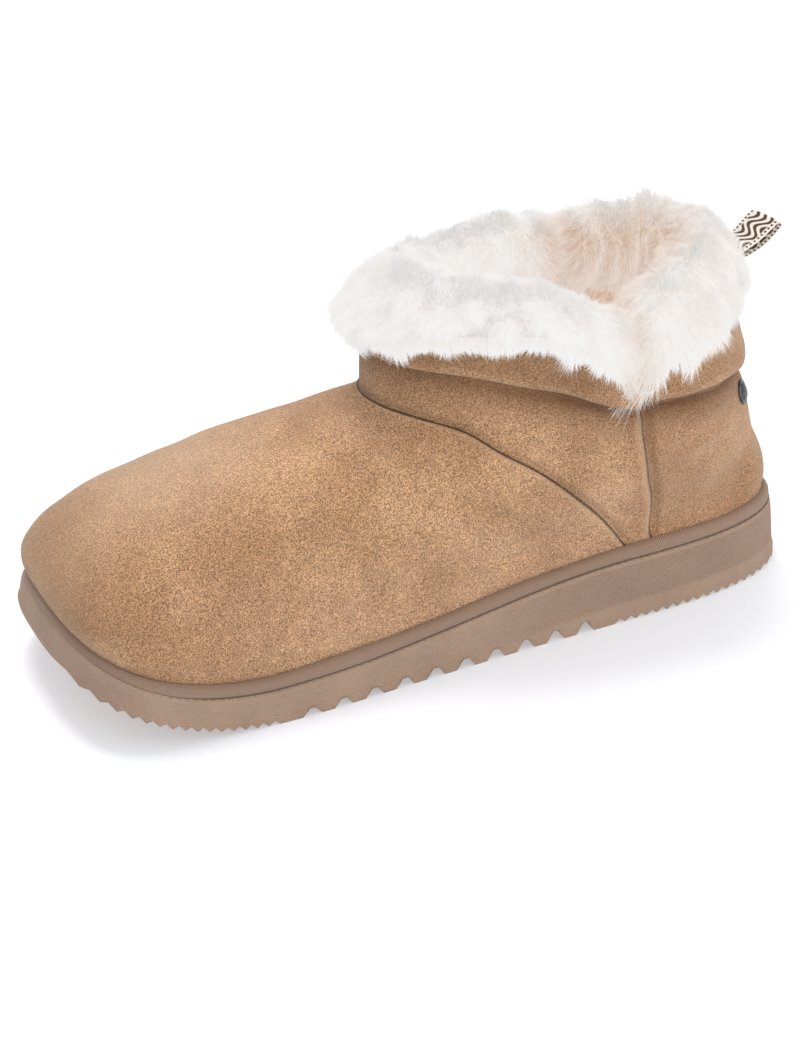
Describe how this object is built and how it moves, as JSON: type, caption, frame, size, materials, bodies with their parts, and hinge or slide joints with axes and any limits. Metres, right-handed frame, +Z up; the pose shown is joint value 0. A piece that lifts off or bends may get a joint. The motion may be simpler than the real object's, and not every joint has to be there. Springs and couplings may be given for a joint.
{
  "type": "bootie slipper",
  "caption": "Low suede bootie slipper for the left foot, with a turned-down plush cuff, taped rand, lugged rubber sole and a woven pull loop at the back.",
  "frame": {"origin": "middle of the whole shoe's box, on the floor under the tread", "axes": "+X from the toe to the heel, -Y to the outer (lateral) side of the foot, +Z up"},
  "size_m": [0.2848, 0.1078, 0.1446],
  "materials": {
    "outsole": "taupe-brown foamed rubber, matt, finely ribbed sides",
    "rand": "taupe-brown woven binding tape, rolled",
    "insole": "plush covered, peach-beige",
    "upper": "chestnut suede with a short nap",
    "cuff_front": "deep off-white plush",
    "cuff_back": "deep off-white plush",
    "pull_loop": "woven tape, brown pattern on off-white",
    "heel_stud": "dark, slightly polished"
  },
  "bodies": {
    "root": {"outsole": "outsole", "rand": "rand", "insole": "insole", "upper": "upper", "cuff_front": "cuff_front", "cuff_back": "cuff_back", "pull_loop": "pull_loop", "heel_stud": "heel_stud"}
  },
  "joints": []
}
